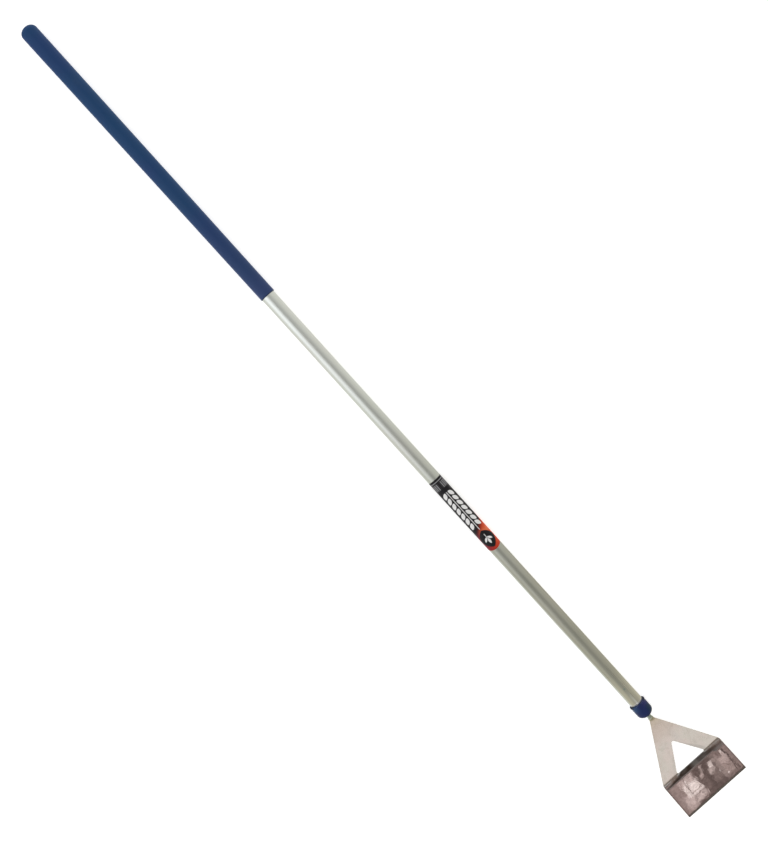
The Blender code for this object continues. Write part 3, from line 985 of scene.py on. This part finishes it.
def flatSheet():
    # a filled flat curve with the sheet's thickness and its edges rounded
    half = h["bladeWidth"] / 2
    tip = h["frameTipWidth"] / 2
    fold = (bendStart + bendEnd) / 2
    base = h["windowStart"] + h["windowLength"]
    outside = [
        (0, -tip, 0),
        (fold, -half, h["shoulderRound"]),
        (sheetEnd, -half, h["bladeCornerRound"]),
        (sheetEnd, half, h["bladeCornerRound"]),
        (fold, half, h["shoulderRound"]),
        (0, tip, 0),
    ]
    window = [
        (h["windowStart"], 0, h["windowTipRound"]),
        (base, h["windowWidth"] / 2, h["windowCornerRound"]),
        (base, -h["windowWidth"] / 2, h["windowCornerRound"]),
    ]
    curve = bpy.data.curves.new("bentHead", "CURVE")
    curve.dimensions = "2D"
    curve.fill_mode = "BOTH"
    curve.bevel_depth = h["edgeRound"]
    curve.bevel_resolution = 3
    curve.offset = -h["edgeRound"]
    curve.extrude = h["sheet"] / 2 - h["edgeRound"]
    for corners in (outside, window):
        points = roundedCorners(corners)
        spline = curve.splines.new("POLY")
        spline.points.add(len(points) - 1)
        for point, place in zip(spline.points, points):
            point.co = (place.x, place.y, 0, 1)
        spline.use_cyclic_u = True
    sheet = bpy.data.objects.new("bentHead", curve)
    bpy.context.scene.collection.objects.link(sheet)
    takeUp(sheet)
    bpy.ops.object.convert(target="MESH")
    return bpy.context.active_object


def makeHead():
    head = flatSheet()
    edit(head)
    bpy.ops.mesh.select_all(action="SELECT")
    bpy.ops.mesh.remove_doubles(threshold=2e-6)
    bpy.ops.mesh.normals_make_consistent(inside=False)
    # cuts across the sheet, close together where it is bent
    for step in range(h["bendSteps"] + 1):
        cutAcross(bendStart + (bendEnd - bendStart) * step / h["bendSteps"])
    cutAcross(bendStart - h["bendMargin"])
    cutAcross(bendEnd + h["bendMargin"])
    # the front edge is ground from the hollow side
    grind = atan((h["sheet"] - h["groundEdge"]) / h["groundWidth"])
    groundWay = Vector((sin(grind), 0, cos(grind)))
    bpy.ops.mesh.select_all(action="SELECT")
    bpy.ops.mesh.bisect(
        plane_co=(sheetEnd - h["groundWidth"], 0, h["sheet"] / 2),
        plane_no=groundWay,
        clear_outer=True,
        use_fill=True,
    )
    bpy.ops.object.mode_set(mode="OBJECT")
    for finish in (polishedSteel(), cutSteel(), groundSteel()):
        head.data.materials.append(finish)
    for face in head.data.polygons:
        if face.normal.dot(groundWay) > 0.999:
            face.material_index = 2
        elif abs(face.normal.z) < 0.8:
            face.material_index = 1
    hinge = ((1, 0, 0, bendStart), (0, 0, -1, 0), (0, 1, 0, 0), (0, 0, 0, 1))
    bend(head, frameDip + bladeTilt, hinge, limits=(bendStart / sheetEnd, bendEnd / sheetEnd))
    head.rotation_euler = (0, frameDip, 0)
    head.location = frameTip
    placeIntoMesh(head)
    closeUp(head, smoothAngle=25)
    modify(head, "WEIGHTED_NORMAL", keep_sharp=True)
    settle(head, "hoe_head", "head_steel")


makeHead()
print("head made")


# Tang, weld and pin: a plated rod under the frame's tip, the bead that holds it, and the pin above

tangSettings = {
    "sides": 64,
    "chamfer": 0.001,
    "seatDeep": 0.02,
    "seatRoom": 0.0001,
    "seatBefore": 0.0002,
    "zinc": ((0.335, 0.410, 0.345), (0.505, 0.575, 0.545)),
    "rough": (0.26, 0.42),
    "lineRough": 0.06,
    "drawnDepth": 0.000008,
}

weldSettings = {
    "start": 0.0036,
    "end": 0.0020,
    "height": 0.0010,
    "sides": (96, 24),  # round the tang and round the bead
    "ripple": 0.00030,
    "rippleSize": 0.0016,
    "bead": ((0.270, 0.254, 0.168), (0.580, 0.573, 0.448)),
    # pale spots painted as glints on the bead, by a noise
    "glintSpecks": {"span": (0.54, 0.64), "share": (0, 0.7), "colour": (0.860, 0.840, 0.770)},
    "rough": (0.35, 0.60),
    "scaleDepth": 0.00005,
}

pinSettings = {
    "sides": 48,
    "rings": (0.0004, 0.0007),
    "step": 0.00006,  # from one ring to the next
}


def zincSteel():
    s = tangSettings
    look = Paper("zincSteel", Metallic=1.0)
    bloom = look.noise(scale=220, detail=4, rough=0.6, warp=0.5)
    lines = look.noise(scale=1, detail=4, rough=0.6, stretch=(20, 1800, 1800))
    colour = look.mix(look.span(bloom, 0.3, 0.7), *s["zinc"])
    roughness = look.plus(look.span(bloom, 0.2, 0.8, *s["rough"]), look.times(lines, s["lineRough"]))
    return look.done(colour, roughness, look.bump(lines, s["drawnDepth"]))


def weldMetal():
    s = weldSettings
    look = Paper("weldMetal", Metallic=1.0)
    scale = look.noise(scale=700, detail=4, rough=0.6)
    colour = look.mix(look.span(scale, 0.3, 0.7), *s["bead"])
    # painted glints on the bead
    colour = look.stain(colour, look.noise(scale=900, detail=2, rough=0.7, shift=(0.3, 0, 0)), s["glintSpecks"])
    return look.done(colour, look.span(scale, 0.2, 0.8, *s["rough"]), look.bump(scale, s["scaleDepth"]))


def makeTang():
    s = tangSettings
    length = tangHigh.x - tangLow.x
    bpy.ops.mesh.primitive_cylinder_add(
        vertices=s["sides"],
        radius=tangRadius,
        depth=length,
        location=(tangLow.x + length / 2, 0, axisHeight),
        rotation=alongShaft,
    )
    rod = named("tangRod")
    edit(rod)
    pick(rod, "EDGE", ringAt(tangLow.x))
    bpy.ops.mesh.bevel(offset=s["chamfer"], segments=1)
    # the seat: all that lies above the frame's underside is cut away past its tip
    deep = s["seatDeep"]
    under = h["sheet"] / 2 + s["seatRoom"]
    middle = Matrix.Rotation(frameDip, 3, "Y") @ Vector((deep - s["seatBefore"], 0, deep - under))
    deselectAll()
    bpy.ops.mesh.primitive_cube_add(size=2 * deep, location=frameTip + middle, rotation=(0, frameDip, 0))
    cutAway(rod, named("seatBlock"))
    closeUp(rod)
    settle(rod, "tang", "plated_steel", zincSteel())


def makeWeld():
    s = weldSettings
    half = (s["start"] + s["end"]) / 2
    middleX = frameTip.x + (s["end"] - s["start"]) / 2
    bpy.ops.mesh.primitive_torus_add(
        major_segments=s["sides"][0],
        minor_segments=s["sides"][1],
        major_radius=tangRadius,
        minor_radius=s["height"],
        location=(middleX, 0, axisHeight),
        rotation=alongShaft,
    )
    bead = named("weldRun")
    edit(bead)
    squeeze(half / s["height"], middleX)
    bpy.ops.object.mode_set(mode="OBJECT")
    ripple = bpy.data.textures.new("weldRipple", "CLOUDS")
    ripple.noise_scale = s["rippleSize"]
    modify(bead, "DISPLACE", texture=ripple, texture_coords="LOCAL", strength=s["ripple"], mid_level=0.8)
    closeUp(bead, smoothAngle=60)
    settle(bead, "weld_bead", "weld_metal", weldMetal())


def makePin():
    s = pinSettings
    bpy.ops.mesh.primitive_cylinder_add(
        vertices=s["sides"], radius=pinRadius, depth=2 * tubeRadius, location=pinPlace
    )
    pin = named("flushPin")
    edit(pin)
    pick(pin, "FACE", lambda face: abs(face.normal.z) > 0.9)
    for ring in s["rings"]:
        bpy.ops.mesh.inset(thickness=ring, depth=s["step"])
    closeUp(pin, smoothAngle=20)
    settle(pin, "cross_pin", "plated_steel", zincSteel())


makeTang()
makeWeld()
makePin()
print("tang, weld and pin made")


# The two plugs stay as they are in the frame, and get a nylon finish

plugSettings = {
    "nylon": ((0.66, 0.65, 0.60), (0.76, 0.75, 0.71)),
    "rough": (0.48, 0.62),
    "grain": 0.00003,
}


def plugNylon():
    s = plugSettings
    look = Paper("plugNylon", IOR=1.53)
    haze = look.noise(scale=90)
    colour = look.mix(haze, *s["nylon"])
    grain = look.bump(look.noise(scale=900, detail=2), s["grain"])
    return look.done(colour, look.span(haze, 0.3, 0.7, *s["rough"]), grain)


nylon = plugNylon()
for plug in ("tang_plug", "end_plug"):
    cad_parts[plug].data.materials.clear()
    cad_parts[plug].data.materials.append(nylon)
print("plugs finished")


# Floor and light

room = {
    "floorSize": 60.0,
    "floorColours": ((0.86, 0.86, 0.86), (0.8471, 0.8471, 0.8471)),
    "floorGlow": 0.62,
    "backdrop": (0.97, 0.97, 0.97),
    "walls": (1.07, 1.08, 1.05),
}

# soft lights and dark sheets that run along the shaft: where each is, going round the shaft
# (degrees from straight up, + towards +Y), how far it reaches, and where along X it comes in
longCards = [
    {"round": -2, "reach": (0, 80), "along": (-2, -1), "light": (0.73, 0.745, 0.76)},
    {"round": 2, "reach": (0, 45), "along": (-0.02, 0.16), "light": (0.445, 0.455, 0.44)},
    {"round": 2, "reach": (0, 45), "along": (0.27, 0.40), "light": (0.555, 0.560, 0.525)},
    {"round": 62, "reach": (0, 42), "along": (0.25, 0.34), "light": (0.78, 0.78, 0.78)},
    {"round": -54, "reach": (0, 54), "along": (0.19, -0.09), "light": (2.30, 2.36, 2.52)},
    {"round": -75, "reach": (15, 45), "along": (-0.16, -0.24), "light": (0.62, 0.63, 0.62)},
    {"round": -68, "reach": (0, 58), "along": (-0.18, -0.34), "light": (0.60, 0.62, 0.60)},
    {"round": 180, "reach": (0, 62), "along": (-0.06, -0.22), "light": (0.30, 0.31, 0.32)},
    {"round": -180, "reach": (0, 62), "along": (-0.06, -0.22), "light": (0.30, 0.31, 0.32)},
    {"round": -120, "reach": (0, 75), "along": (-0.15, -0.32), "light": (0.45, 0.46, 0.46)},
]
# past these ways round the shaft and along X all is dimmer, and then a little brighter again
dimmer = {"from": (-133, -103), "along": (0.05, 0.24), "light": (0.44, 0.402, 0.338)}
brighter = {"along": (0.30, 0.50), "light": (1.62, 1.60, 1.56)}

# round cards by the way that they lie in: the frame's, the camera's own side, and the blade's
roundCards = [
    {"way": (0.645, -0.018, 0.764), "reach": (7, 18), "along": (0.43, 0.53), "light": (0.97, 0.922, 0.885)},
    {"way": (-0.446, 0.018, 0.895), "reach": (6, 15), "along": (-2, -1), "light": (0.05, 0.045, 0.04)},
]

bladeCard = {"way": (-0.690, 0.000, 0.725), "reach": (7, 13), "light": 0.47}

# what the camera sees mirrored in the blade: shares of its width from -Y, and of its depth from the fold
mirrored = [
    {"across": (-0.10, 0.03), "deep": (-0.3, 1.3), "soft": 0.04, "light": 0.37},
    {"across": (0.945, 1.2), "deep": (-0.3, 1.3), "soft": 0.01, "light": 0.40},
    {"across": (0.09, 0.34), "deep": (0.57, 0.88), "soft": 0.06, "light": 0.84},
    {"across": (0.18, 0.40), "deep": (0.14, 0.85), "soft": 0.04, "light": 0.82},
    {"across": (0.18, 0.41), "deep": (0.35, 0.67), "soft": 0.02, "light": 1.24},
    {"across": (0.24, 0.40), "deep": (0.70, 0.84), "soft": 0.03, "light": 0.92},
    {"across": (0.33, 0.45), "deep": (0.165, 0.200), "soft": 0.012, "light": 0.80},
    {"across": (0.15, 0.23), "deep": (0.290, 0.315), "soft": 0.010, "light": 1.15},
    {"across": (0.237, 0.248), "deep": (0.10, 0.86), "soft": 0.005, "light": 0.30},
    {"across": (0.25, 0.42), "deep": (0.578, 0.592), "soft": 0.006, "light": 0.34},
    {"across": (0.25, 0.42), "deep": (0.682, 0.704), "soft": 0.008, "light": 0.32},
    {"across": (0.41, 0.73), "deep": (-0.3, 1.3), "soft": 0.02, "light": 0.22},
    {"across": (0.60, 0.71), "deep": (0.50, 0.84), "soft": 0.03, "light": 0.37},
    {"across": (0.46, 0.52), "deep": (0.50, 0.80), "soft": 0.04, "light": 0.33},
    {"across": (0.488, 0.538), "deep": (0.20, 0.46), "soft": 0.015, "light": 0.70, "lean": -0.30},
    {"across": (0.615, 0.698), "deep": (0.26, 0.54), "soft": 0.015, "light": 0.80, "lean": -0.22},
    {"across": (0.640, 0.700), "deep": (0.27, 0.43), "soft": 0.015, "light": 1.12, "lean": -0.22},
    {"across": (0.72, 0.93), "deep": (-0.3, 0.95), "soft": 0.03, "light": 0.34},
    {"across": (0.72, 0.81), "deep": (0.24, 0.85), "soft": 0.03, "light": 0.55},
    {"across": (0.78, 0.92), "deep": (0.38, 0.85), "soft": 0.03, "light": 0.57},
    {"across": (0.81, 0.91), "deep": (0.36, 0.56), "soft": 0.03, "light": 0.72},
    {"across": (0.87, 0.91), "deep": (0.22, 0.44), "soft": 0.02, "light": 0.80},
    {"across": (0.906, 0.930), "deep": (0.08, 0.40), "soft": 0.008, "light": 0.12},
    {"across": (0.925, 0.947), "deep": (0.38, 0.92), "soft": 0.008, "light": 0.14},
    {"across": (0.28, 0.66), "deep": (-0.2, 0.12), "soft": 0.06, "light": 0.15},
    {"across": (0.25, 0.71), "deep": (0.88, 1.3), "soft": 0.02, "light": 0.24},
    {"across": (-0.2, 1.2), "deep": (0.95, 1.3), "soft": 0.02, "light": 0.18},
]
# small glints on its dents, fine dark creases, and a mottling of all of it
glints = {
    "places": (
        (0.304, 0.407),
        (0.272, 0.310),
        (0.655, 0.410),
        (0.89, 0.275),
        (0.793, 0.817),
        (0.19, 0.440),
        (0.716, 0.640),
    ),
    "half": (0.013, 0.014),
    "light": 1.40,
}
creases = {
    "across": (0.15, 0.91),
    "deep": (0.14, 0.88),
    "soft": 0.03,
    "grain": 7.0,
    "flatness": 0.75,
    "width": 0.040,
    "share": 0.60,
    "light": (0.20, 0.14, 0.13),
}
mottle = {"grain": 22.0, "detail": 3, "change": (0.80, 1.20)}
uneven = {"grain": 11, "detail": 4, "across": 0.05, "deep": 0.12}  # the edges of what is mirrored
deepSoftness = 1.6  # its edges are softer down the blade than across it


def warmLight(level):
    # light of this level: the dimmer, the warmer
    green = 0.70 + 0.14 * level
    blue = 0.66 + 0.16 * level
    return (level, level * green, level * blue)


def makeFloor():
    deselectAll()
    bpy.ops.mesh.primitive_plane_add(size=room["floorSize"])
    floor = named("paleFloor")
    look = Paper("paleFloor", Roughness=0.9, IOR=1.1)
    look.shader.inputs["Emission Strength"].default_value = room["floorGlow"]
    look.shader.inputs["Emission Color"].default_value = (1, 1, 1, 1)
    floor.data.materials.append(look.done(look.mix(look.noise(scale=2), *room["floorColours"])))
    floor.visible_glossy = False  # what shines mirrors the cards under it instead


def mirroredWay(point):
    # the way in which the camera looks, after it meets the blade at the point
    lookWay = (point - bpy.context.scene.camera.location).normalized()
    bladeWay = Vector((-sin(bladeTilt), 0, cos(bladeTilt)))
    return lookWay - 2 * lookWay.dot(bladeWay) * bladeWay


def bladeShares(sky, direction):
    # how far across and down the blade a mirrored direction is seen
    fold = frameTip + Vector((cos(frameDip), 0, -sin(frameDip))) * h["frameLength"]
    edge = fold + Vector((cos(bladeTilt), 0, sin(bladeTilt))) * h["bladeDepth"]
    half = Vector((0, h["bladeWidth"] / 2, 0))
    corner = mirroredWay(fold - half)
    across = mirroredWay(fold + half) - corner
    deep = mirroredWay(edge - half) - corner
    square = across.cross(deep)
    shares = []
    for other, own in ((deep.cross(square), across), (square.cross(across), deep)):
        measure = other / other.dot(own)
        shares.append(sky.minus(sky.dot(direction, measure), corner.dot(measure)))
    return shares


def cloudsOn(sky, place, scale, detail):
    clouds = sky.node("TexNoise")
    sky.plug(place, clouds.inputs["Vector"])
    clouds.inputs["Scale"].default_value = scale
    clouds.inputs["Detail"].default_value = detail
    return clouds.outputs


def facing(sky, direction, card):
    # 1 where the direction is within the card's nearer reach, and 0 beyond the further one
    near, far = (cos(radians(angle)) for angle in card["reach"])
    return sky.span(sky.dot(direction, Vector(card["way"]).normalized()), far, near)


def roomLight(sky, direction):
    ways = sky.axes(direction)
    along = ways[0]
    around = sky.math("DEGREES", sky.math("ARCTAN2", ways[1], ways[2]))
    light = room["walls"]
    for card in longCards:
        off = sky.size(sky.minus(around, card["round"]))
        share = sky.times(sky.span(off, *card["reach"], 1, 0), sky.span(along, *card["along"]))
        light = sky.mix(share, light, card["light"])
    dimSide = sky.span(around, *dimmer["from"])
    for change in (dimmer, brighter):
        share = sky.times(dimSide, sky.span(along, *change["along"]))
        light = sky.mix(share, light, change["light"], "MULTIPLY")
    for card in roundCards:
        share = sky.times(facing(sky, direction, card), sky.span(along, *card["along"]))
        light = sky.mix(share, light, card["light"])
    return light


def bladeLight(sky, direction):
    # what is mirrored in the blade, with its edges a little uneven
    across, deep = bladeShares(sky, direction)
    place = sky.flat(across, deep)
    wobble = sky.axes(cloudsOn(sky, place, uneven["grain"], uneven["detail"])["Color"])
    across = sky.plus(across, sky.times(sky.minus(wobble[0], 0.5), uneven["across"]))
    deep = sky.plus(deep, sky.times(sky.minus(wobble[1], 0.5), uneven["deep"]))

    def inBox(box, soft):
        leaning = across
        if "lean" in box:
            down = sky.minus(deep, sum(box["deep"]) / 2)
            leaning = sky.minus(across, sky.times(down, box["lean"]))
        share = 1
        for value, ends, spread in ((leaning, box["across"], soft), (deep, box["deep"], soft * deepSoftness)):
            low, high = ends
            rise = sky.span(value, low - spread, low + spread)
            fall = sky.span(value, high - spread, high + spread, 1, 0)
            share = sky.times(share, rise, fall)
        return share

    light = warmLight(bladeCard["light"])
    for card in mirrored:
        light = sky.mix(inBox(card, card["soft"]), light, warmLight(card["light"]))
    wide, high = glints["half"]
    for atAcross, atDeep in glints["places"]:
        spot = {"across": (atAcross - wide, atAcross + wide), "deep": (atDeep - high, atDeep + high)}
        light = sky.mix(inBox(spot, high / 2), light, warmLight(glints["light"]))
    cells = sky.node("TexVoronoi", feature="DISTANCE_TO_EDGE")
    sky.plug(sky.flat(sky.over(across, creases["flatness"]), deep), cells.inputs["Vector"])
    cells.inputs["Scale"].default_value = creases["grain"]
    darkLine = sky.span(cells.outputs["Distance"], 0, creases["width"], 1, 0)
    share = sky.times(darkLine, inBox(creases, creases["soft"]), creases["share"])
    light = sky.mix(share, light, creases["light"])
    patches = cloudsOn(sky, place, mottle["grain"], mottle["detail"])["Fac"]
    change = sky.span(patches, 0.3, 0.7, *mottle["change"])
    grey = sky.node("CombineXYZ")
    for socket in grey.inputs:
        sky.plug(change, socket)
    return sky.mix(1, light, grey.outputs[0], "MULTIPLY")


def makeWorld():
    world = bpy.data.worlds.new("softRoom")
    bpy.context.scene.world = world
    world.use_nodes = True
    sky = Nodes(world.node_tree)
    direction = sky.node("TexCoord").outputs["Generated"]

    def glow(light):
        made = sky.node("Background")
        sky.plug(light, made.inputs["Color"])
        return made.outputs[0]

    def either(share, first, second):
        made = sky.node("MixShader")
        for value, socket in zip((share, first, second), made.inputs):
            sky.plug(value, socket)
        return made.outputs[0]

    # the camera sees a plain backdrop, and all else the cards and the blade's part
    onBladeCard = facing(sky, direction, bladeCard)
    cards = either(onBladeCard, glow(roomLight(sky, direction)), glow(bladeLight(sky, direction)))
    cameraRay = sky.node("LightPath").outputs["Is Camera Ray"]
    seen = either(cameraRay, cards, glow(room["backdrop"]))
    sky.plug(seen, sky.tree.nodes["World Output"].inputs["Surface"])


makeFloor()
makeWorld()
bpy.context.scene.view_settings.view_transform = "Standard"
print("floor and light made")
